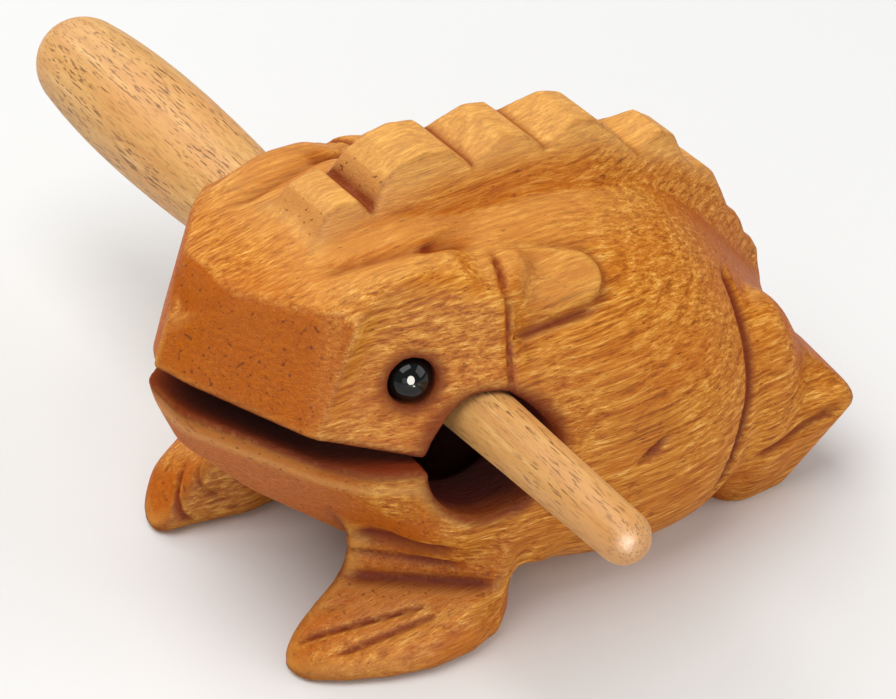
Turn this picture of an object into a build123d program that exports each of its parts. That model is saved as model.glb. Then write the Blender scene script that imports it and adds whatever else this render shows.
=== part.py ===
"""Frog guiro: a carved, hollow wooden frog with a toothed back, bead eyes and its striker.

Frame: +Z is up, the frog faces -Y and its left side is +X. The origin is on the
surface that the frog rests on, under the belly, in its plane of symmetry.
All lengths are millimetres and all angles are degrees.
"""
import os

from build123d import *

os.makedirs("parts", exist_ok=True)

# ---------------------------------------------------------------- driving dimensions
FLANK_HALF_WIDTH = 30.0     # half the width of the body at its widest

# Torso sections: y, half width, crown height, height of the widest point, keel height
TORSO = [
    (-34.0, 14.0, 50.0, 31.0, 14.0),
    (-20.0, 24.5, 55.0, 28.5, 8.0),
    (-6.0, 28.8, 55.3, 26.5, -1.0),
    (8.0, FLANK_HALF_WIDTH, 53.2, 25.0, -3.0),
    (18.0, 29.0, 49.8, 24.0, -3.0),
    (28.0, 24.0, 42.5, 22.0, 0.5),
    (36.0, 15.5, 32.5, 20.0, 5.0),
    (41.5, 8.0, 26.0, 18.0, 10.0),
    (44.6, 3.0, 22.5, 18.0, 13.5),
]
SHOULDER_OUT = 0.66         # a section's shoulder point, as a share of its half width
SHOULDER_UP = 0.73          # and of its rise from the widest point to the crown
BELLY_OUT = 0.72            # a section's belly point, as a share of its half width
BELLY_DOWN = 0.80           # and of its drop from the widest point to the keel

# Head facets, each one flat knife cut: a point on the cut and its outward normal.
# The cuts with a sideways normal are made again on the other side.
HEAD_FACETS = [
    ((4.1, -44.7, 53.6), (0.15, -0.12, 0.98)),      # top of the snout
    ((0, -44.3, 53.4), (0, -0.917, 0.399)),         # front of the snout
    ((4.1, -44.7, 53.6), (0.602, -0.754, 0.261)),   # cheek
    ((20.3, -26.6, 42.2), (0.945, -0.26, 0.19)),    # temple
    ((18.6, -25.5, 54.6), (0.72, 0, 0.70)),         # side of the brow
    ((15.5, -17.5, 55.6), (0.10, 0.36, 0.93)),      # back of the brow
    ((24.2, -14.4, 42), (0.80, 0.58, 0.15)),        # behind the cheek
    ((2.7, -51.0, 38), (0, -0.98, -0.20)),          # lower lip
    ((5.9, -49.5, 38), (0.66, -0.74, -0.12)),       # side of the lower lip
    ((9, -43.6, 29.5), (0.42, -0.686, -0.592)),     # side of the chin
    ((0, -37.2, 15.6), (0, -0.573, -0.819)),        # chin
    ((22.5, -25, 20), (0.90, -0.35, -0.25)),        # side of the jaw
]
HEAD_BLOCK = (60.0, 48.0, 56.0)                     # the block the head is cut from
HEAD_BLOCK_CENTER = (0.0, -30.0, 37.0)

# Ridge along the back: the peak and the following valley of every tooth, as (y, z)
RIDGE_FRONT = [(-37.0, 50.0), (-31.0, 56.0)]
RIDGE_TEETH = [
    ((-26.4, 59.6), (-22.5, 57.4)),
    ((-13.8, 62.9), (-7.4, 59.3)),
    ((-1.6, 61.8), (3.9, 58.2)),
    ((9.4, 60.3), (19.0, 52.2)),
    ((24.6, 52.3), (28.6, 47.4)),
    ((33.4, 44.0), (37.2, 35.8)),
    ((39.4, 34.0), (41.0, 30.0)),
    ((42.2, 27.8), (43.6, 23.0)),
]
RIDGE_ROOT = [(36.0, 18.0), (20.0, 38.0), (0.0, 46.0), (-20.0, 46.0)]
RIDGE_HALF_WIDTH = 6.4
RIDGE_SIDE_POINT = (5.4, 0, 60.0)                   # on the sloping side of the ridge
RIDGE_SIDE_NORMAL = (0.935, 0, 0.355)

# Front legs: plan of one foot with its flat cuts, then the arm above it
FOOT_PLAN = [
    (13.8, -46.2),
    (17.8, -46.4),
    (20.5, -43.2),
    (23.4, -39.0),
    (26.1, -33.4),
    (27.8, -27.6),
    (27.8, -21.4),
    (26.2, -16.5),
    (23.5, -13.5),
    (18.0, -12.5),
    (12.0, -14.0),
    (11.5, -31.0),
    (13.2, -38.0),
    (14.0, -43.0),
]
FOOT_HEIGHT = 16.0
FOOT_TOP_POINT = (12.8, -31.7, 9.3)
FOOT_TOP_NORMAL = (0.354, -0.311, 0.882)
FOOT_FRONT = ((14, -43.9, 0.6), (0, -0.8, 0.6))
RIGHT_FOOT_OUT = 2.2        # the right foot stands this much wider than the left
RIGHT_FOOT_UP = 4.5         # and its top is this much higher
RIGHT_ARM_IN = 16.5         # inner face of the right arm; the left arm keeps its full round
ARM_SECTIONS = [((18.5, -21, 0), 7.5, 8.5), ((18.5, -20.5, 10), 7.6, 9.5), ((16.5, -20, 21), 9, 11)]

# Hind legs: centre of each elliptical section of the thigh and its two radii, then the cuts of the heel
THIGH_SECTIONS = [
    ((16.6, 30, 0), 4.6, 5.5),
    ((16.8, 29.5, 9), 7.8, 8.5),
    ((16.6, 28.8, 20), 8.8, 9.2),
    ((16.5, 28, 31), 4.8, 5.2),
]
HEEL_FACETS = [
    ((24, 45.3, 15), (0.02, 0.86, -0.50)),
    ((24.2, 31, 10.5), (0.95, 0.03, -0.30)),
    ((20.2, 27.2, 0), (0.60, -0.80, 0)),
    ((24.2, 28, 11.2), (0.866, -0.166, 0.472)),
    ((18, 36.6, 24.0), (0.10, 0.72, 0.69)),
]
HEEL_BLOCK = (20.0, 26.0, 34.0)                     # the block a heel is cut from
HEEL_BLOCK_CENTER = (19.5, 37.8, 15.0)

# Mouth: one saw cut, sloping down towards the back, that ends in the chamber
MOUTH_GAP = 3.7
MOUTH_TILT = 22.3
MOUTH_FRONT = (0, -50, 39.15)
MOUTH_DEPTH = 34.0
MOUTH_HALF_WIDTH = 40.0

# Stick hole: a large bore on the left, a snug seat on the right, the chamber between
HOLE_RADIUS = 9.6
HOLE_Y = -17.6
HOLE_Z = 29.9
SEAT_RADIUS = 6.95
CHAMBER_RADIUS = 12.5
CHAMBER_HALF_WIDTH = 16.0
WALL_REACH = 40.0           # longer than any wall is thick

# Eyes: round beads glued in drilled sockets, on the slope of the head's side
EYE_CENTER = (20.3, -26.6, 42.2)
EYE_AXIS = (0.945, -0.26, 0.19)
EYE_RADIUS = 3.1
EYE_PROUD = 1.3             # how far the bead stands out of the wood
SOCKET_GAP = 0.15
SOCKET_DEPTH = 5.2

# Stick: a turned taper with a rounded bulb, lying level along X: (x, radius)
STICK_Y = -17.0
STICK_Z = 34.5
STICK_TIP_X = 55.6
STICK_END_X = -89.0
STICK_TAPER = [
    (STICK_TIP_X - 3.6, 3.5),
    (25.0, 4.1),
    (0.0, 4.95),
    (-24.0, 6.25),
    (-38.0, 7.35),
    (-55.0, 8.2),
    (-70.0, 8.1),
    (STICK_END_X + 7.0, 7.1),
]
STICK_TIP_ROUND = (STICK_TIP_X - 1.0, 2.45)        # on the rounding of the thin end
STICK_END_ROUND = (STICK_END_X + 1.9, 4.6)        # on the rounding of the bulb

# Carved grooves: V cuts made with a square bar, from one point to another
GROOVES = [
    ((11, -34.5, 12.0), (27, -17.5, 13.2), 1.0),    # wrist
    ((11, -34.5, 9.4), (28, -17.5, 10.2), 1.1),     # below the wrist
    ((14.5, -11.2, 51.8), (18.5, -13, 48.3), 0.9),  # neck
    ((18.5, -13, 48.3), (25.0, -14.7, 38.5), 0.9),  # neck, down to the hole
    ((18.5, 26.5, 37), (25.5, 20.5, 11), 2.0),      # front of the thigh
    ((16.4, -40.6, 4), (22.8, -27.7, 7), 0.6),      # toe
    ((20.0, -37.2, 3), (24.0, -25.1, 7), 0.6),      # toe
]


def mirrored_points(point):
    """A point and its mirror image across the plane of symmetry."""
    x, y, z = point
    return [(x, y, z)] if x == 0 else [(x, y, z), (-x, y, z)]


def carve(facets):
    """Cut the active part back to the inside of every facet."""
    for point, normal in facets:
        split(bisect_by=Plane(origin=point, z_dir=normal), keep=Keep.BOTTOM)


def both_sides(facets):
    """The facets, and each sideways one again as its mirror image."""
    sideways = [facet for facet in facets if facet[1][0] != 0]
    return facets + [((-point[0], *point[1:]), (-normal[0], *normal[1:])) for point, normal in sideways]


# ---------------------------------------------------------------- building blocks
with BuildPart() as torso:
    for y, half_width, crown, waist, keel in TORSO:
        shoulder = (half_width * SHOULDER_OUT, waist + (crown - waist) * SHOULDER_UP)
        belly = (half_width * BELLY_OUT, waist - (waist - keel) * BELLY_DOWN)
        right_side = [(0, crown), shoulder, (half_width, waist), belly, (0, keel)]
        left_side = [(-x, z) for x, z in reversed(right_side[1:-1])]
        with BuildSketch(Plane.XZ.offset(-y)):
            with BuildLine():
                Spline(*right_side, *left_side, periodic=True)
            make_face()
    loft()

with BuildPart() as head:
    with Locations(HEAD_BLOCK_CENTER):
        Box(*HEAD_BLOCK)
    carve(both_sides(HEAD_FACETS))

with BuildPart() as ridge:
    outline = RIDGE_FRONT + [point for tooth in RIDGE_TEETH for point in tooth] + RIDGE_ROOT
    with BuildSketch(Plane.YZ):
        with BuildLine():
            Polyline(*outline, close=True)
        make_face()
    extrude(amount=RIDGE_HALF_WIDTH, both=True)
    carve(both_sides([(RIDGE_SIDE_POINT, RIDGE_SIDE_NORMAL)]))

feet = []
for rise in (0, RIGHT_FOOT_UP):
    top = (FOOT_TOP_POINT[0], FOOT_TOP_POINT[1], FOOT_TOP_POINT[2] + rise)
    with BuildPart() as front_foot:
        with BuildSketch():
            with BuildLine():
                Polyline(*FOOT_PLAN, close=True)
            make_face()
        extrude(amount=FOOT_HEIGHT)
        carve([FOOT_FRONT, (top, FOOT_TOP_NORMAL)])
    feet.append(front_foot.part)

with BuildPart() as arm:
    for center, radius_x, radius_y in ARM_SECTIONS:
        with BuildSketch(Plane(origin=center)):
            Ellipse(radius_x, radius_y)
    loft()

with BuildPart() as right_arm:
    add(arm.part.mirror(Plane.YZ))
    split(bisect_by=Plane(origin=(-RIGHT_ARM_IN, 0, 0), z_dir=(1, 0, 0)), keep=Keep.BOTTOM)

with BuildPart() as thigh:
    for center, radius_x, radius_y in THIGH_SECTIONS:
        with BuildSketch(Plane(origin=center)):
            Ellipse(radius_x, radius_y)
    loft()

with BuildPart() as heel:
    with Locations(HEEL_BLOCK_CENTER):
        Box(*HEEL_BLOCK)
    carve(HEEL_FACETS)

# ---------------------------------------------------------------- frog body
with BuildPart() as frog_body:
    add(torso.part)
    add(head.part)
    add(ridge.part)
    for limb in (thigh.part, heel.part):
        add(limb)
        add(limb.mirror(Plane.YZ))
    add(arm.part)
    add(right_arm.part)
    add(feet[0])
    add(Pos(-RIGHT_FOOT_OUT, 0, 0) * feet[1].mirror(Plane.YZ))
    split(bisect_by=Plane.XY, keep=Keep.TOP)

    # The saw cut of the mouth
    mouth_normal = Vector(0, 0, 1).rotate(Axis.X, -MOUTH_TILT)
    mouth_plane = Plane(origin=MOUTH_FRONT, x_dir=(1, 0, 0), z_dir=mouth_normal)
    with BuildSketch(mouth_plane):
        Rectangle(2 * MOUTH_HALF_WIDTH, 2 * MOUTH_DEPTH)
    extrude(amount=MOUTH_GAP / 2, both=True, mode=Mode.SUBTRACT)

    # The stick hole on the left, its seat on the right, and the chamber between them
    side_plane = Plane(origin=(0, HOLE_Y, HOLE_Z), x_dir=(0, 1, 0), z_dir=(1, 0, 0))
    with BuildSketch(side_plane):
        Circle(HOLE_RADIUS)
    extrude(amount=WALL_REACH, mode=Mode.SUBTRACT)
    with BuildSketch(side_plane):
        Circle(CHAMBER_RADIUS)
    extrude(amount=CHAMBER_HALF_WIDTH, both=True, mode=Mode.SUBTRACT)
    with BuildSketch(Plane(origin=(0, STICK_Y, STICK_Z), x_dir=(0, 1, 0), z_dir=(-1, 0, 0))):
        Circle(SEAT_RADIUS)
    extrude(amount=WALL_REACH, mode=Mode.SUBTRACT)

    # The eye sockets
    for center, axis in zip(mirrored_points(EYE_CENTER), mirrored_points(EYE_AXIS)):
        with BuildSketch(Plane(origin=center, z_dir=axis)):
            Circle(EYE_RADIUS + SOCKET_GAP)
        extrude(amount=-SOCKET_DEPTH, mode=Mode.SUBTRACT)

    # The carved grooves, on both sides
    for start, end, half_width in GROOVES:
        for low, high in zip(mirrored_points(start), mirrored_points(end)):
            along = Vector(high) - Vector(low)
            with BuildSketch(Plane(origin=low, x_dir=Vector(0, 0, 1).cross(along), z_dir=along)):
                Rectangle(2 * half_width, 2 * half_width, rotation=45)
            extrude(amount=along.length, mode=Mode.SUBTRACT)

frog_body.part.label = "frog_body"
export_step(frog_body.part, "parts/frog_body.step")

# ---------------------------------------------------------------- eyes
eye_frames = zip(mirrored_points(EYE_CENTER), mirrored_points(EYE_AXIS))
for name, (center, axis) in zip(["left_eye", "right_eye"], eye_frames):
    bead_plane = Plane(origin=center, z_dir=axis)
    with BuildPart() as eye:
        with Locations(bead_plane.offset(EYE_PROUD - EYE_RADIUS)):
            Sphere(EYE_RADIUS)
    eye.part.label = name
    export_step(eye.part, f"parts/{name}.step")

# ---------------------------------------------------------------- stick
with BuildPart() as stick:
    with BuildSketch():
        with BuildLine():
            tip = (STICK_TIP_X, 0)
            end = (STICK_END_X, 0)
            side = Spline(*STICK_TAPER)
            Spline(side @ 0, STICK_TIP_ROUND, tip, tangents=[-(side % 0), (0, -1)])
            Spline(side @ 1, STICK_END_ROUND, end, tangents=[side % 1, (0, -1)])
            Line(tip, end)
        make_face()
    revolve(axis=Axis.X)

stick.part.label = "stick"
stick.part.position = (0, STICK_Y, STICK_Z)
export_step(stick.part, "parts/stick.step")
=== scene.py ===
"""A carved wooden frog guiro with its wooden rasp stick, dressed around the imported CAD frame.

The frog's body is one block of wood. Its shape is written as a signed distance (negative inside the wood),
meshed once, and shaded with a solid wood texture, so the grain runs on through the carved facets.
Shape data is in millimetres in the CAD frame: +Z up, the frog faces -Y, its left side is +X.
"""

import bpy
import numpy as np
from mathutils import Matrix, Vector


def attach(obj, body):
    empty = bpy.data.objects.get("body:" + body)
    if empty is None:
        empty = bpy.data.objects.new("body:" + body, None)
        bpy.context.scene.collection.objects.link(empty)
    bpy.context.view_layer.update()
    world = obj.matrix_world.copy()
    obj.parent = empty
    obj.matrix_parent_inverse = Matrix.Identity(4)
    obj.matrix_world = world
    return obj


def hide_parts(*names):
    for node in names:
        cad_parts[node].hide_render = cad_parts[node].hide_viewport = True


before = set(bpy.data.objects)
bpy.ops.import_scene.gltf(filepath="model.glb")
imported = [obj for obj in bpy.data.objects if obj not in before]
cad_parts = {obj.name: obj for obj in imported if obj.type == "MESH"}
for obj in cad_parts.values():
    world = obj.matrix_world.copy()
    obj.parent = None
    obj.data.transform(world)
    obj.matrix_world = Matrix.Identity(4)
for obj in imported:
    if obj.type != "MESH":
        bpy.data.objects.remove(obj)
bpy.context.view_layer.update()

MM = 0.001
F = np.float32

# ---------------------------------------------------------------- driving shape data (mm)
# Torso sections along Y: place, half width, crown, waist, keel, roundness above the waist
TORSO = [
    (-34, 14, 50, 31, 14, 2.0),
    (-26, 20, 53.5, 30, 12, 2.0),
    (-18, 26.0, 55.4, 28.0, 7.5, 2.15),
    (-8, 28.6, 55.3, 26.5, 1.0, 2.15),
    (2, 29.8, 54.5, 25.5, -2.0, 2.1),
    (10, 30, 52.6, 25, -3, 2.0),
    (18, 29, 49.8, 24, -3, 1.85),
    (25, 26, 45.2, 22.5, 0.5, 1.75),
    (31, 21.5, 38.8, 22, 2, 1.65),
    (35, 17, 33.4, 21, 4, 1.6),
    (39, 12, 28.4, 19, 7, 1.7),
    (42, 7, 25.4, 18, 10, 1.8),
    (44.5, 2, 23, 18, 13, 1.8),
]
TORSO_ROUND_BELOW = 2.6
TORSO_FRONT = -30
TORSO_REAR = 44.6

# Carved planes: a point on the plane and the way it faces
SNOUT_TOP = ((4.1, -44.7, 53.6), (0.15, -0.12, 0.98))
SNOUT_FRONT = ((0, -44.3, 53.4), (0, -0.917, 0.399))
CHEEK = ((4.1, -44.7, 53.6), (0.602, -0.754, 0.261))
CHEEK_BACK = ((18.2, -38, 39.1), (0.85, 0.48, -0.237))
TEMPLE = ((20.3, -26.6, 42.2), (0.945, -0.26, 0.19))
CROWN_SIDE = ((11.5, -24, 54.6), (0.30, 0.05, 0.95))
CROWN_BACK = ((0, -19, 57.0), (0.10, 0.30, 0.94))
NAPE = ((24.2, -14.4, 42), (0.80, 0.58, 0.15))
NECK_END = ((0, -6, 40), (0, 1, 0.2))
HEAD = [SNOUT_TOP, SNOUT_FRONT, CHEEK]
BROW = [
    CHEEK,
    TEMPLE,
    NAPE,
    ((18.6, -25.5, 54.6), (0.72, 0, 0.70)),
    ((17.0, -25.5, 56.2), (0.25, -0.337, 0.9)),
    ((17.0, -25.5, 56.2), (0.25, 0.128, 0.93)),
    ((15.5, -17.5, 55.4), (0.25, 0.614, 0.8)),
    ((11.5, -22, 54.0), (-0.45, 0, 0.9)),
]
JAW = [
    ((2.7, -51.0, 38), (0, -0.98, -0.2)),
    ((5.9, -49.5, 38), (0.66, -0.74, -0.12)),
    ((9, -43.6, 29.5), (0.42, -0.686, -0.592)),
    ((0, -37.2, 15.6), (0, -0.573, -0.819)),
    ((0, -20, 9), (0, 0, -1)),
    ((22.5, -25, 20), (0.9, -0.35, -0.25)),
    NAPE,
    NECK_END,
    ((0, -50, 39.0), (0, -0.4, 0.9)),
]

MOUTH_PLACE = (-50, 39.15)
MOUTH_FALL = 0.41
MOUTH_HALF_GAP = 1.85
MOUTH_END = -17.6
LIP_RISE = 0.29
LIP_RISE_FROM, LIP_RISE_TO = -38, -27

# Outline of the notched ridge along the spine, as (Y, Z), nose end first
RIDGE = [
    (-37, 50), (-34, 53.2), (-31, 56.0), (-28.8, 58.9), (-26.4, 59.6), (-24.0, 59.3), (-22.5, 57.4),
    (-20.4, 60.9), (-17.4, 62.5), (-13.8, 62.9), (-10.0, 62.0), (-7.4, 59.3),
    (-5.2, 60.4), (-2.0, 61.7), (1.2, 60.9), (3.9, 58.2),
    (6.6, 59.1), (9.8, 60.0), (12.8, 59.0), (16.0, 55.8), (19.4, 51.8),
    (21.8, 52.0), (24.6, 52.8), (27.2, 51.0), (28.4, 47.6),
    (30.2, 45.4), (32.4, 44.6), (34.4, 42.6), (35.9, 39.3), (37.2, 35.8),
    (38.8, 34.6), (40.0, 32.8), (41.0, 30.0), (42.6, 28.6), (44.0, 26.2), (44.0, 22),
    (36, 18), (20, 38), (0, 46), (-20, 46),
]
RIDGE_TOP = [
    (-36, 50), (-30, 57.5), (-14, 61.5), (0, 60.8), (12, 58.5), (20, 53.5),
    (27, 50), (34, 44), (39, 37.5), (42, 32), (45, 26),
]
RIDGE_HALF = [(-34, 4.9), (-10, 5.2), (5, 5.2), (20, 4.6), (34, 3.0), (45, 1.8)]
RIDGE_LEAN = [(-34, 0.38), (15, 0.38), (34, 0.3), (45, 0.12)]
RIDGE_SHIFT = -0.4

EYE = (20.3, -26.6, 42.2)
HOLE_Y, HOLE_Z, HOLE_R = -17.7, 30.2, 8.9
CHAMBER_R, CHAMBER_HALF = 12.5, 16
STICK_Y, STICK_Z, SEAT_R = -17, 34.5, 6.95
STICK_TIP_X = 56
HOLE_TRIM = [((0, -24.1, 34.6), (0, -0.77, 0.64)), ((0, -10, 33.7), (0, 0.765, 0.643))]
SOCKET_R = 3.25

# The raised tongue behind the neck: two ends with their radii
PAD = ((17.0, -10.5, 48.6), (20.4, -1.2, 49.2), 4.9, 3.7)
PAD_LIFT = 0.9

FOOT_PLAN = [
    (13.8, -46.2), (17.8, -46.4), (20.5, -43.2), (23.4, -39.0), (26.1, -33.4), (27.8, -27.6), (27.8, -21.4),
    (26.2, -16.5), (23.5, -13.5), (18, -12.5), (12, -14), (11.5, -31), (13.2, -38), (14.0, -43),
]
RIGHT_FOOT_OUT = 2.2
RIGHT_FOOT_UP = 4.0
RIGHT_ARM_IN = 5.0
FOOT_TOP = ((12.8, -31.7, 9.3), (0.354, -0.311, 0.882))
FOOT_FRONT = ((14, -43.9, 0.6), (0, -0.8, 0.6))
WRIST = ((18.0, -25.6, 12), (0.77, -0.64, 0.06))
HEEL = [
    ((24, 45.3, 15), (0.02, 0.86, -0.5)),
    ((24.2, 31, 10.5), (0.95, 0.03, -0.34)),
    ((20.2, 27.2, 0), (0.6, -0.8, 0)),
    ((24.2, 28, 11.2), (0.866, -0.166, 0.472)),
    ((18, 36.6, 24.0), (0.1, 0.72, 0.69)),
    ((16, 24.8, 10), (-0.1, -1, 0)),
    ((9.5, 30, 10), (-1, 0, 0)),
]


# ---------------------------------------------------------------- signed distance tools
def unit(v):
    v = np.asarray(v, float)
    return v / np.linalg.norm(v)


def smin(a, b, k):
    h = np.clip(0.5 + 0.5 * (b - a) / k, 0, 1)
    return b * (1 - h) + a * h - k * h * (1 - h)


def smax(a, b, k):
    return -smin(-a, -b, k)


def plane(p, point, normal):
    n = unit(normal)
    return p[0] * F(n[0]) + p[1] * F(n[1]) + p[2] * F(n[2]) - F(np.dot(n, point))


def facets(p, cuts, k, start=None):
    d = start
    for cut in cuts:
        e = plane(p, *cut)
        d = e if d is None else smax(d, e, k)
    return d


def limb(p, a, b, ra, rb):
    a, b = np.asarray(a, float), np.asarray(b, float)
    ab = b - a
    q = [p[i] - F(a[i]) for i in range(3)]
    t = np.clip(sum(q[i] * F(ab[i]) for i in range(3)) / F(ab @ ab), 0, 1)
    return np.sqrt(sum((q[i] - t * F(ab[i])) ** 2 for i in range(3))) - (ra + (rb - ra) * t)


def ellipsoid(p, c, r):
    q = [(p[i] - F(c[i])) / F(r[i]) for i in range(3)]
    k0 = np.sqrt(sum(v * v for v in q))
    k1 = np.sqrt(sum((v / F(r[i])) ** 2 for i, v in enumerate(q))) + 1e-6
    return k0 * (k0 - 1) / k1


def polygon(u, v, pts):
    pts = np.asarray(pts, float)
    d = np.full(u.shape, 1e9, F)
    s = np.ones(u.shape, F)
    for a, b in zip(pts, np.roll(pts, 1, axis=0)):
        e = b - a
        wu, wv = u - F(a[0]), v - F(a[1])
        t = np.clip((wu * F(e[0]) + wv * F(e[1])) / F(e @ e), 0, 1)
        d = np.minimum(d, (wu - F(e[0]) * t) ** 2 + (wv - F(e[1]) * t) ** 2)
        up, low, left = v >= a[1], v < b[1], F(e[0]) * wv > F(e[1]) * wu
        s = np.where((up & low & left) | (~up & ~low & ~left), -s, s)
    return s * np.sqrt(d)


def along(y, table, soft=2.5):
    """Smooth value at each y of a table of (y, value)."""
    ys, values = zip(*table)
    line = np.arange(ys[0] - 12, ys[-1] + 12, 0.25)
    reach = np.arange(-40, 41) * 0.25
    weight = np.exp(-0.5 * (reach / soft) ** 2)
    v = np.interp(line, ys, values)
    v = np.convolve(np.pad(v, 40, mode="edge"), weight / weight.sum(), "valid")
    return np.interp(y, line, v).astype(F)


def vcut(p, a, b, n, depth, width, end=1.5, reach=6):
    """Depth at each point of a V-shaped cut from a to b, made along -n."""
    a, b = np.asarray(a, float), np.asarray(b, float)
    length = np.linalg.norm(b - a)
    t_ = (b - a) / length
    s_ = unit(np.cross(t_, unit(n)))
    n_ = np.cross(s_, t_)
    q = [p[i] - F(a[i]) for i in range(3)]
    t, s, h = [sum(q[i] * F(w[i]) for i in range(3)) for w in (t_, s_, n_)]
    e = np.clip((t + end) / (2 * end), 0, 1) * np.clip((length + end - t) / (2 * end), 0, 1)
    e = e * np.clip((reach - np.abs(h)) / 2, 0, 1)
    return depth * e * np.clip(1 - np.abs(s) / width, 0, 1)


# ---------------------------------------------------------------- the frog
def torso(p):
    a, y, z = p
    width, crown, waist, keel, round_above = [along(y, [(t[0], t[i]) for t in TORSO]) for i in range(1, 6)]
    width = np.maximum(width, 0.5)
    above = z > waist
    height = np.maximum(np.where(above, crown - waist, waist - keel), 0.5)
    n = np.where(above, round_above, TORSO_ROUND_BELOW).astype(F)
    share = ((a / width) ** n + (np.abs(z - waist) / height) ** n) ** (1 / n) + 1e-4
    d = np.sqrt(a * a + (z - waist) ** 2) * (1 - 1 / share)
    return smax(smax(d, y - TORSO_REAR, 4), TORSO_FRONT - y, 4)


def head(p, mouth):
    core = facets(p, HEAD + [TEMPLE, CROWN_SIDE, CROWN_BACK, NAPE, NECK_END], 1.4)
    cheek = facets(p, HEAD + [CHEEK_BACK, CROWN_BACK], 0.9)
    brow = facets(p, BROW, 1.2)
    upper = smin(smin(core, cheek, 2.0), brow, 1.6)
    upper = smax(upper, (mouth - 1.0 - p[2]) * F(0.91), 0.6)
    lower = smax(facets(p, JAW, 1.3), (p[2] - mouth - 1.2) * F(0.91), 0.6)
    return smin(upper, lower, 1.2)


def ridge(x, y, z):
    top = along(y, RIDGE_TOP, 1)
    half = along(y, RIDGE_HALF)
    lean = along(y, RIDGE_LEAN)
    side = (np.abs(x - F(RIDGE_SHIFT)) - half - lean * np.maximum(top - z, -1)) * F(0.93)
    return smax(polygon(y, z, RIDGE), side, 0.9)


def front_leg(p, x):
    right = (x < 0).astype(F)
    column = limb(p, (18.4, -19.8, 16), (17.8, -21.2, 0), 9.8, 8.2)
    column = smin(column, limb(p, (15.5, -26, 16), (15.5, -26, 0), 7.8, 7.8), 3)
    column = smax(column, plane(p, *WRIST), 1.5)
    shoulder = limb(p, (17.5, -20, 26), (18, -20.0, 21.5), 9.5, 8.5)
    arm = smax(smin(column, shoulder, 2.5), 11.5 + RIGHT_ARM_IN * right - p[0], 2.5)
    out = p[0] - RIGHT_FOOT_OUT * right
    foot = smax(polygon(out, p[1], FOOT_PLAN), np.abs(p[2] - 8) - 8, 3)
    foot = smax(foot, plane(p, *FOOT_FRONT), 2.0)
    foot = smax(foot, plane(p, *FOOT_TOP) - RIGHT_FOOT_UP * right, 2.0)
    return smin(arm, foot, 1.2)


def hind_leg(p):
    knee = limb(p, (16.5, 28, 5), (17, 32, 5), 4.0, 3.4)
    thigh = smin(ellipsoid(p, (16.5, 28.6, 18), (9.0, 9.4, 15)), knee, 5)
    return smin(thigh, facets(p, HEEL, 2.0), 2.2)


def pad_outline(p):
    return limb(p, *PAD)


def shoulder_pad(p, body):
    """A low raised tongue behind the neck: the skin lifted inside a rounded outline."""
    return smax(body - F(PAD_LIFT), pad_outline(p), 0.8)


def knife_cuts(p):
    """Depth of the V cuts, listed from the thigh and heel to the neck, pad, brow, flank, wrist and toes."""
    cuts = [
        ((18.0, 25.8, 37), (24.8, 18.6, 9), (0.9, 0.3, 0.3), 1.9, 2.0, 9),
        ((24.0, 40.5, 13.4), (24.0, 27.5, 10.4), (1, 0, -0.1), 0.9, 1.6, 5),
        ((14.5, -11.2, 51.8), (18.5, -13, 48.3), (0.5, 0, 0.86), 0.7, 0.8, 6),
        ((18.5, -13, 48.3), (25.0, -14.7, 38.5), (0.9, -0.1, 0.5), 0.6, 0.7, 7),
        ((22.0, -12.5, 44.5), (24.5, -1.5, 46.0), (0.8, 0, 0.6), 0.9, 1.1, 6),
        ((10, -33, 55.4), (13.0, -13, 52.6), (0.2, 0, 0.97), 0.6, 1.6, 6),
        ((28.8, 3.0, 23.2), (28.6, 7.5, 25.8), (1, 0, 0), 0.9, 1.2, 6),
        ((13.6, -30.6, 15.3), (21.5, -20.8, 15.8), (0.77, -0.64, 0.06), 1.1, 2.4, 6),
        ((13.4, -30.9, 12.5), (22.0, -20.4, 11.8), (0.77, -0.64, 0.06), 0.7, 0.9, 6),
        ((13.2, -31.6, 8.7), (25.0, -17.4, 8.9), (0.77, -0.64, 0.3), 0.9, 1.3, 6),
        ((16.6, -41.0, 4.5), (22.7, -25.6, 7.6), (0.35, -0.31, 0.88), 0.7, 0.7, 4),
        ((21.0, -38.4, 3.8), (24.4, -25.4, 7), (0.35, -0.31, 0.88), 0.7, 0.7, 4),
        ((15.2, -37.2, 6.5), (16.2, -34.2, 7), (0.35, -0.31, 0.88), 0.45, 0.6, 4),
    ]
    g = 0
    for a, b, n, depth, width, reach in cuts:
        g = np.maximum(g, vcut(p, a, b, n, depth, width, reach=reach))
    return g


def hollow(body, p, x, mouth):
    """The mouth slot, the stick's hole and seat, the chamber between them, and the eye sockets."""
    y, z = p[1], p[2]
    hole = np.sqrt((y - HOLE_Y) ** 2 + (z - HOLE_Z) ** 2)
    seat = np.sqrt((y - STICK_Y) ** 2 + (z - STICK_Z) ** 2) - F(SEAT_R)
    floor = mouth + lip_rise(y)
    gap = smax((z - mouth) * F(0.915), (floor - z) * F(0.915), 0.3)
    slot = smax(gap - MOUTH_HALF_GAP, y - MOUTH_END, 0.5)
    left_hole = facets((x, y, z), HOLE_TRIM, 1.5, hole - F(HOLE_R))
    body = smax(body, -smax(left_hole, -x, 0.5), 1.0)
    body = smax(body, -smax(seat, x, 0.5), 0.8)
    body = smax(body, -smax(hole - F(CHAMBER_R), p[0] - CHAMBER_HALF, 1), 0.5)
    body = smax(body, -slot, 0.8)
    n = unit(TEMPLE[1])
    c = np.array(EYE)
    return smax(body, -limb(p, c + 1.5 * n, c - 5.5 * n, SOCKET_R, SOCKET_R), 0.4)


def mouth_height(y):
    return MOUTH_PLACE[1] - MOUTH_FALL * (y - MOUTH_PLACE[0])


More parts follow.
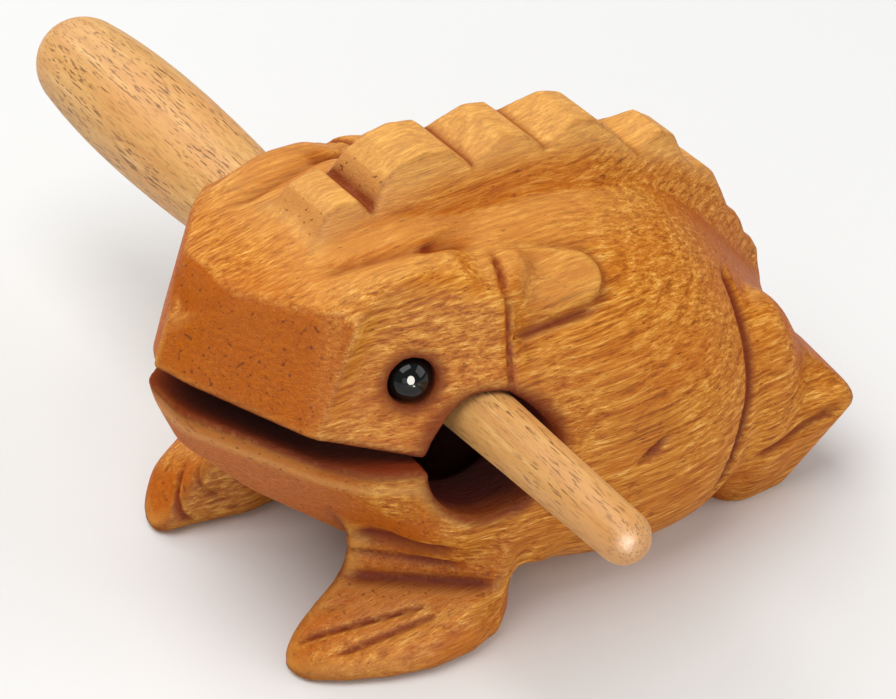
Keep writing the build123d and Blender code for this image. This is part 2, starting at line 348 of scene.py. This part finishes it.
def lip_rise(y):
    """How far the lower lip climbs towards the upper one in front of the hole."""
    return F(LIP_RISE) * np.clip(y - LIP_RISE_FROM, 0, LIP_RISE_TO - LIP_RISE_FROM)


def block(x, y, z):
    """The carved outside, before the mouth, the hole and the eye sockets are cut."""
    x, y, z = x.astype(F), y.astype(F), z.astype(F)
    p = (np.abs(x), y, z)
    body = smin(torso(p), head(p, mouth_height(y)), 1.6)
    body = smin(body, ridge(x, y, z), 1.2)
    body = smin(body, front_leg(p, x), 2.0)
    body = smin(body, hind_leg(p), 1.4)
    body = smin(body, shoulder_pad(p, body), 1.0)
    return body + knife_cuts(p)


def frog(x, y, z):
    """The whole block, hollowed and cut flat underneath."""
    x, y, z = x.astype(F), y.astype(F), z.astype(F)
    p = (np.abs(x), y, z)
    body = hollow(block(x, y, z), p, x, mouth_height(y))
    return smax(body, -z, 0.6)


# ---------------------------------------------------------------- meshing
def slope(field, p, e=0.05):
    """Gradient of the field at points p."""
    g = np.empty_like(p)
    for i in range(3):
        d = np.zeros(3, F)
        d[i] = e
        g[:, i] = (field(*(p + d).T) - field(*(p - d).T)) / (2 * e)
    return g


def net(field, low, high, step):
    """Points and quads of the field's zero surface, one point in each grid cell that it crosses."""
    axes = [np.arange(low[i], high[i] + step, step).astype(F) for i in range(3)]
    grid = np.meshgrid(*axes, indexing="ij")
    v = field(*grid)
    shape = np.array(v.shape) - 1
    inside = v < 0
    total = np.zeros(tuple(shape) + (3,), F)
    count = np.zeros(tuple(shape), np.int8)
    edges = []
    for axis in range(3):
        near = [slice(None)] * 3
        far = [slice(None)] * 3
        near[axis], far[axis] = slice(0, -1), slice(1, None)
        va, vb = v[tuple(near)], v[tuple(far)]
        crossing = np.argwhere(inside[tuple(near)] != inside[tuple(far)])
        a = va[tuple(crossing.T)]
        b = vb[tuple(crossing.T)]
        at = crossing.astype(F)
        at[:, axis] += a / (a - b)
        edges.append((axis, crossing, a < 0))
        others = [i for i in range(3) if i != axis]
        for i in (0, 1):
            for j in (0, 1):
                cell = crossing.copy()
                cell[:, others[0]] -= i
                cell[:, others[1]] -= j
                ok = (cell >= 0).all(1) & (cell < shape).all(1)
                np.add.at(total, tuple(cell[ok].T), at[ok])
                np.add.at(count, tuple(cell[ok].T), 1)
    used = np.argwhere(count > 0)
    index = np.full(tuple(shape), -1, np.int64)
    index[tuple(used.T)] = np.arange(len(used))
    points = total[tuple(used.T)] / count[tuple(used.T)][:, None] * F(step) + np.asarray(low, F)
    quads = []
    for axis, crossing, leaving in edges:
        u, w = [(1, 2), (2, 0), (0, 1)][axis]
        corners = []
        for i, j in ((1, 1), (0, 1), (0, 0), (1, 0)):
            cell = crossing.copy()
            cell[:, u] -= i
            cell[:, w] -= j
            corners.append(cell)
        ok = np.ones(len(crossing), bool)
        for cell in corners:
            ok &= (cell >= 0).all(1) & (cell < shape).all(1)
        quad = np.stack([index[tuple(cell[ok].T)] for cell in corners], 1)
        flip = ~leaving[ok]
        quad[flip] = quad[flip][:, ::-1]
        quads.append(quad)
    return points, np.concatenate(quads)


def mesh_object(name, points, faces):
    mesh = bpy.data.meshes.new(name)
    mesh.vertices.add(len(points))
    mesh.vertices.foreach_set("co", (points * MM).astype(np.float32).ravel())
    mesh.loops.add(faces.size)
    mesh.loops.foreach_set("vertex_index", faces.astype(np.int32).ravel())
    mesh.polygons.add(len(faces))
    mesh.polygons.foreach_set("loop_start", np.arange(0, faces.size, faces.shape[1], dtype=np.int32))
    mesh.update(calc_edges=True)
    mesh.validate()
    mesh.shade_smooth()
    obj = bpy.data.objects.new(name, mesh)
    bpy.context.scene.collection.objects.link(obj)
    return obj


def attribute(obj, name, values):
    layer = obj.data.attributes.new(name, "FLOAT", "POINT")
    layer.data.foreach_set("value", values.astype(np.float32))


def build_frog():
    step = 0.66
    points, faces = net(frog, (-33, -54, -1.5), (33, 47, 64), step)
    for _ in range(3):
        g = slope(frog, points)
        size = np.maximum((g * g).sum(1), 0.25)
        move = g * (frog(*points.T) / size)[:, None]
        points = points - np.clip(move, -0.4 * step, 0.4 * step)
    normal = slope(frog, points)
    normal /= np.linalg.norm(normal, axis=1)[:, None] + 1e-6
    obj = mesh_object("carved_frog", points, faces)
    # Painted shade: darker in creases and hollows, by how closely the wood closes in round each point
    crevice_shade = sum(1 - np.clip(frog(*(points + normal * r).T) / r, 0, 1) for r in (0.8, 1.6, 3.2)) / 3
    # Edge mask: near sharp outward edges; drives the lighter golden edges, partly real wear and partly
    # painted highlight
    edge = sum(1 - np.clip(-frog(*(points - normal * r).T) / r, 0, 1) for r in (0.8, 1.6)) / 2
    near = (np.abs(points[:, 0]), points[:, 1], points[:, 2])
    from_eye = np.stack(near, 1) - np.array(EYE)
    across = from_eye - np.outer(from_eye @ unit(TEMPLE[1]), unit(TEMPLE[1]))
    # Painted shade: a dark ring round each eye socket, where the bead meets the wood
    socket_shade = np.exp(-((np.linalg.norm(across, axis=1) - 3.5) / 1.3) ** 2) * (near[0] > 15)
    # Painted shade inside the mouth slot, darker deeper in
    in_slot = (np.abs(near[2] - mouth_height(near[1])) < 2.5) & (near[1] < MOUTH_END)
    mouth_and_hole_shade = np.where(in_slot, np.clip(-block(*points.T) / 0.6 + 0.2, 0, 1), 0)
    lip_edge = mouth_height(near[1]) + lip_rise(near[1]) - 2.0
    # Painted shadow: a dark band just below the top edge of the lower lip, under the upper lip
    lip_shadow_band = 0.85 * np.exp(-((lip_edge - 0.5 - near[2]) / 1.1) ** 2)
    mouth_and_hole_shade = np.maximum(mouth_and_hole_shade, lip_shadow_band * (near[1] < -26.5) * (near[1] > -51))
    # Painted shade in the left side's stick hole and for a short way round its rim
    rim = np.hypot(near[1] - HOLE_Y, near[2] - HOLE_Z) - HOLE_R
    hole_shade = 0.85 * np.exp(-(np.maximum(rim, 0) / 1.5) ** 2) * (points[:, 0] > 15)
    mouth_and_hole_shade = np.maximum(mouth_and_hole_shade, hole_shade)
    # Dark red-brown painted shade in the knife cuts, round the eye sockets, in the mouth slot and in and
    # round the hole
    recess_shade = np.maximum(np.maximum(np.clip(knife_cuts(near) / 1.1, 0, 1), 0.9 * socket_shade), mouth_and_hole_shade)
    pad = 0.55 * np.clip(-pad_outline(near) / 1.2, 0, 1)
    # Painted highlight: lighter along the tops of the ridge's teeth, behind the snout
    ridge_top_highlight = np.clip((points[:, 2] - along(points[:, 1], RIDGE_TOP, 1) + 4) / 3, 0, 1)
    ridge_top_highlight = ridge_top_highlight * np.clip((9.5 - near[0]) / 3, 0, 1) * np.clip((points[:, 1] + 33.5) / 2, 0, 1)
    # Painted highlight: surfaces facing up made lighter, less so on the snout
    top_highlight = 0.6 * np.clip((normal[:, 2] - 0.8) / 0.15, 0, 1)
    top_highlight = top_highlight * np.clip((points[:, 1] + 40) / 8, 0.1, 1)
    # Painted highlight: a light band along the rounded front of the lower lip, below the painted shadow
    lip_highlight = 0.9 * np.exp(-((lip_edge - 3.2 - near[2]) / 1.0) ** 2) * (near[1] < -25)
    # Paler colour mask: the raised tongue behind the neck, and the painted highlights on the ridge tops, on
    # upward faces and on the lower lip
    pale_and_highlight = np.maximum.reduce([pad, ridge_top_highlight, top_highlight, lip_highlight]) * (block(*points.T) > -1)
    from_side = 36.5 - 0.933 * near[0] + 0.359 * near[1]
    on_foot = (normal @ unit(FOOT_TOP[1]) > 0.9) & (points[:, 2] < 12) & (points[:, 0] > 0)
    foot_face = np.clip((from_side - 3.5) / 1.5, 0, 1) * on_foot
    attribute(obj, "pale_and_highlight", pale_and_highlight)
    attribute(obj, "crevice_shade", crevice_shade)
    attribute(obj, "edge", edge)
    attribute(obj, "recess_shade", recess_shade)
    # Painted shade: darker the deeper a surface lies inside the carved block, on the walls of the chamber,
    # slot and hole
    attribute(obj, "inside", np.clip((-block(*points.T) - 1.0) / 4, 0, 1))
    attribute(obj, "end_grain", np.maximum(np.abs(normal[:, 1]), 0.66 * foot_face))
    return obj


# ---------------------------------------------------------------- materials
def new_material(name):
    material = bpy.data.materials.new(name)
    material.use_nodes = True
    tree = material.node_tree
    return material, tree, tree.nodes["Principled BSDF"]


def node(tree, kind, values=(), **settings):
    """A shader node; values are (input, number or socket) pairs."""
    made = tree.nodes.new("ShaderNode" + kind)
    for key, value in settings.items():
        setattr(made, key, value)
    for key, value in values:
        if isinstance(value, bpy.types.NodeSocket):
            tree.links.new(value, made.inputs[key])
        else:
            made.inputs[key].default_value = value
    return made


def linear(colour):
    """An sRGB colour, 0 to 255, as linear RGBA."""
    c = np.array(colour) / 255
    c = np.where(c <= 0.04045, c / 12.92, ((c + 0.055) / 1.055) ** 2.4)
    return (*[float(v) for v in c], 1.0)


def ramp(tree, factor, stops):
    made = node(tree, "ValToRGB", [("Fac", factor)])
    elements = made.color_ramp.elements
    while len(elements) < len(stops):
        elements.new(0.5)
    for element, (place, colour) in zip(elements, stops):
        element.position = place
        element.color = colour if len(colour) == 4 else linear(colour)
    return made.outputs["Color"]


def grey(level):
    return (level, level, level, 1.0)


def mix(tree, factor, a, b):
    made = node(tree, "Mix", [(0, factor), (6, a), (7, b)], data_type="RGBA")
    return made.outputs[2]


def math(tree, operation, a, b=0.0):
    made = node(tree, "Math", [(0, a), (1, b)], operation=operation)
    return made.outputs[0]


def noise(tree, place, stretch, detail=3.0, rough=0.55, distortion=0.0, shift=(0, 0, 0)):
    """Noise with so many cells to a millimetre along X, Y and Z."""
    scale = tuple(s / MM for s in stretch)
    where = node(tree, "Mapping", [("Vector", place), ("Scale", scale), ("Location", shift)])
    values = [("Vector", where.outputs[0]), ("Scale", 1.0), ("Detail", detail), ("Roughness", rough),
              ("Distortion", distortion)]
    return node(tree, "TexNoise", values).outputs["Fac"]


def painted(tree, name):
    return node(tree, "Attribute", attribute_name=name).outputs["Fac"]


def rings(tree, place, centre, spacing, distortion, detail_scale):
    """Growth rings round an axis along Y through a centre (mm), spacing in mm: 0 to 1."""
    shift = tuple(-c * MM for c in centre)
    where = node(tree, "Mapping", [("Vector", place), ("Location", shift)]).outputs[0]
    values = [("Vector", where), ("Scale", 0.314 / (spacing * MM)), ("Distortion", distortion),
              ("Detail", 2.0), ("Detail Scale", detail_scale), ("Detail Roughness", 0.55)]
    made = node(tree, "TexWave", values, wave_type="RINGS", rings_direction="Y", wave_profile="SIN")
    return made.outputs["Fac"]


def carved_wood():
    material, tree, shader = new_material("carved_wood")
    where = node(tree, "TexCoord").outputs["Object"]
    sway = node(tree, "TexNoise", [("Vector", where), ("Scale", 38.0), ("Detail", 2.0)]).outputs["Color"]
    bent = node(tree, "VectorMath", [(0, sway), (1, (0.004, 0.001, 0.004))], operation="MULTIPLY").outputs[0]
    place = node(tree, "VectorMath", [(0, where), (1, bent)], operation="ADD").outputs[0]

    broad = noise(tree, place, (0.10, 0.025, 0.10), 2.0)
    growth = rings(tree, place, (-14, 0, -22), 1.5, 2.5, 2.0)
    threads = noise(tree, place, (1.9, 0.11, 1.9), 4.0, 0.6, 0.2)
    fine = noise(tree, place, (5.5, 0.35, 5.5), 3.0, 0.65)
    pores = noise(tree, place, (4.2, 0.7, 4.2), 1.5, 0.5, shift=(3, 1, 5))
    grain = math(tree, "ADD", math(tree, "MULTIPLY", threads, 0.62), math(tree, "MULTIPLY", growth, 0.05))
    grain = math(tree, "ADD", grain, math(tree, "MULTIPLY", fine, 0.36))

    end_grain = ramp(tree, painted(tree, "end_grain"), [(0.48, grey(0)), (0.72, grey(1))])
    crevice_shade = painted(tree, "crevice_shade")
    edge = painted(tree, "edge")
    recess_shade = painted(tree, "recess_shade")
    inside = painted(tree, "inside")

    long_grain = ramp(tree, grain, [(0.38, (140, 70, 6)), (0.46, (184, 103, 20)), (0.53, (202, 127, 36)),
                                    (0.60, (224, 156, 64)), (0.68, (246, 192, 104))])
    sawn = ramp(tree, threads, [(0.30, (172, 82, 0)), (0.55, (186, 94, 0)), (0.75, (198, 108, 10))])
    colour = mix(tree, end_grain, long_grain, sawn)
    colour = mix(tree, ramp(tree, broad, [(0.44, grey(0)), (0.68, grey(0.55))]), colour, linear((188, 96, 8)))
    dots = ramp(tree, pores, [(0.27, grey(0.8)), (0.35, grey(0))])
    colour = mix(tree, dots, colour, linear((104, 46, 8)))
    # Paler golden wood on the raised tongue, and painted highlights on the ridge tops, upward faces and lower
    # lip
    colour = mix(tree, math(tree, "MULTIPLY", painted(tree, "pale_and_highlight"), 0.42), colour, linear((238, 186, 108)))
    specks = noise(tree, place, (1.5, 1.5, 1.5), 0.0)
    specks = math(tree, "MULTIPLY", ramp(tree, specks, [(0.23, grey(0.75)), (0.29, grey(0))]), end_grain)
    colour = mix(tree, specks, colour, linear((112, 48, 8)))
    # Lighter golden edges: partly real wear, partly painted highlight
    wear_and_edge_highlight = math(tree, "MULTIPLY", ramp(tree, edge, [(0.15, grey(0)), (0.6, grey(0.5))]),
                math(tree, "ADD", fine, 0.25))
    colour = mix(tree, wear_and_edge_highlight, colour, linear((244, 190, 92)))
    # Painted shade in creases and hollows, dark red-brown
    crevice_shade_mix = ramp(tree, crevice_shade, [(0.06, grey(0)), (0.55, grey(0.9))])
    colour = mix(tree, crevice_shade_mix, colour, linear((128, 46, 4)))
    # Painted shade in the knife cuts, mouth slot, hole and round the eyes; these places are also made rougher
    # below
    colour = mix(tree, ramp(tree, recess_shade, [(0.12, grey(0)), (0.9, grey(0.92))]), colour, linear((118, 38, 0)))
    # Painted shade, near black red-brown, on the inner walls of the hollow
    colour = mix(tree, ramp(tree, inside, [(0.0, grey(0)), (0.8, grey(1))]), colour, linear((78, 18, 6)))
    tree.links.new(colour, shader.inputs["Base Color"])

    gloss = ramp(tree, threads, [(0.3, grey(0.52)), (0.7, grey(0.38))])
    tree.links.new(mix(tree, recess_shade, gloss, grey(0.85)), shader.inputs["Roughness"])
    shader.inputs["Specular IOR Level"].default_value = 0.1

    height = math(tree, "ADD", math(tree, "MULTIPLY", grain, 0.9), math(tree, "MULTIPLY", pores, 0.25))
    bump = node(tree, "Bump", [("Strength", 0.75), ("Distance", 0.0006), ("Height", height)])
    tree.links.new(bump.outputs[0], shader.inputs["Normal"])
    return material


def pale_wood():
    material, tree, shader = new_material("stick_wood")
    where = node(tree, "TexCoord").outputs["Object"]
    broad = noise(tree, where, (0.03, 0.09, 0.09), 2.0)
    streaks = noise(tree, where, (0.06, 0.8, 0.8), 3.0, 0.6)
    pores = noise(tree, where, (0.40, 3.4, 3.4), 2.0, 0.55)
    patches = noise(tree, where, (0.08, 0.22, 0.22), 1.0, shift=(7, 2, 3))
    colour = ramp(tree, streaks, [(0.3, (196, 142, 72)), (0.55, (214, 165, 94)), (0.75, (230, 190, 122))])
    colour = mix(tree, ramp(tree, broad, [(0.4, grey(0)), (0.7, grey(0.5))]), colour, linear((218, 150, 84)))
    along_stick = node(tree, "SeparateXYZ", [(0, where)]).outputs[0]
    share = math(tree, "MULTIPLY", along_stick, 1 / (STICK_TIP_X * MM))
    to_tip = ramp(tree, share, [(0.2, grey(0.1)), (1.0, grey(0.6))])
    colour = mix(tree, to_tip, colour, linear((200, 134, 70)))
    dashes = math(tree, "MULTIPLY", ramp(tree, pores, [(0.36, grey(1)), (0.46, grey(0))]),
                  ramp(tree, patches, [(0.40, grey(0.35)), (0.58, grey(1))]))
    colour = mix(tree, dashes, colour, linear((132, 84, 36)))
    tree.links.new(colour, shader.inputs["Base Color"])
    shader.inputs["Roughness"].default_value = 0.5
    height = math(tree, "ADD", streaks, math(tree, "MULTIPLY", pores, 0.6))
    bump = node(tree, "Bump", [("Strength", 0.35), ("Distance", 0.0003), ("Height", height)])
    tree.links.new(bump.outputs[0], shader.inputs["Normal"])
    return material


def eye_bead():
    material, tree, shader = new_material("eye_bead")
    shader.inputs["Base Color"].default_value = (0.003, 0.004, 0.004, 1)
    shader.inputs["Roughness"].default_value = 0.05
    shader.inputs["Specular IOR Level"].default_value = 0.3
    return material


# ---------------------------------------------------------------- stage, light and camera
def stage():
    bpy.ops.mesh.primitive_plane_add(size=6)
    floor = bpy.context.object
    floor.name = "floor"
    material, tree, shader = new_material("floor_paper")
    shader.inputs["Base Color"].default_value = (0.72, 0.72, 0.71, 1)
    shader.inputs["Roughness"].default_value = 0.9
    floor.data.materials.append(material)


def area_light(name, place, aim, size, power, colour=(1, 1, 1)):
    data = bpy.data.lights.new(name, "AREA")
    data.size = size
    data.energy = power
    data.color = colour
    light = bpy.data.objects.new(name, data)
    light.location = place
    light.rotation_euler = (Vector(aim) - Vector(place)).to_track_quat("-Z", "Y").to_euler()
    light.visible_camera = False
    bpy.context.scene.collection.objects.link(light)
    return light


def lights():
    aim = (0, -0.005, 0.03)
    area_light("key", (-0.02, -0.28, 0.88), aim, 0.8, 7.2)
    area_light("side", (0.60, 0.62, 0.50), aim, 0.7, 3.3)
    area_light("rim", (-0.6, 0.0, 0.5), aim, 0.6, 2.2)
    area_light("front", (0.50, -0.48, 0.17), aim, 0.30, 0.4)
    glint = area_light("glint", (0.306, -0.112, 0.108), (0.020, -0.027, 0.042), 0.19, 4.2, (1.0, 0.94, 0.86))
    glint.data.shape = "ELLIPSE"
    glint.data.size_y = 0.24
    glint.visible_diffuse = False
    world = bpy.data.worlds.new("studio")
    world.use_nodes = True
    world.node_tree.nodes["Background"].inputs[0].default_value = (1, 1, 1, 1)
    world.node_tree.nodes["Background"].inputs[1].default_value = 0.30
    bpy.context.scene.world = world


def camera():
    azimuth, elevation, roll = np.radians(55.7), np.radians(35.2), np.radians(0.63)
    target = Vector((3.87, -9.98, 30.94)) * MM
    distance = 451 * MM
    flat = np.cos(elevation)
    back = Vector((np.sin(azimuth) * flat, -np.cos(azimuth) * flat, np.sin(elevation)))
    data = bpy.data.cameras.new("camera")
    data.sensor_width = 36
    data.lens = 36 * 3421.5 / 896
    data.clip_start = 0.01
    cam = bpy.data.objects.new("camera", data)
    turn = back.to_track_quat("Z", "Y").to_matrix() @ Matrix.Rotation(roll, 3, "Z")
    cam.matrix_world = Matrix.Translation(target + back * distance) @ turn.to_4x4()
    bpy.context.scene.collection.objects.link(cam)
    bpy.context.scene.camera = cam


bpy.context.scene.view_settings.view_transform = "Standard"
camera()
stage()
lights()

body = build_frog()
body.data.materials.append(carved_wood())
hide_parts("frog_body")
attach(body, "frog")

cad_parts["stick"].data.materials.clear()
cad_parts["stick"].data.materials.append(pale_wood())
bead = eye_bead()
for eye in ("left_eye", "right_eye"):
    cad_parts[eye].data.materials.clear()
    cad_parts[eye].data.materials.append(bead)

bpy.context.view_layer.update()
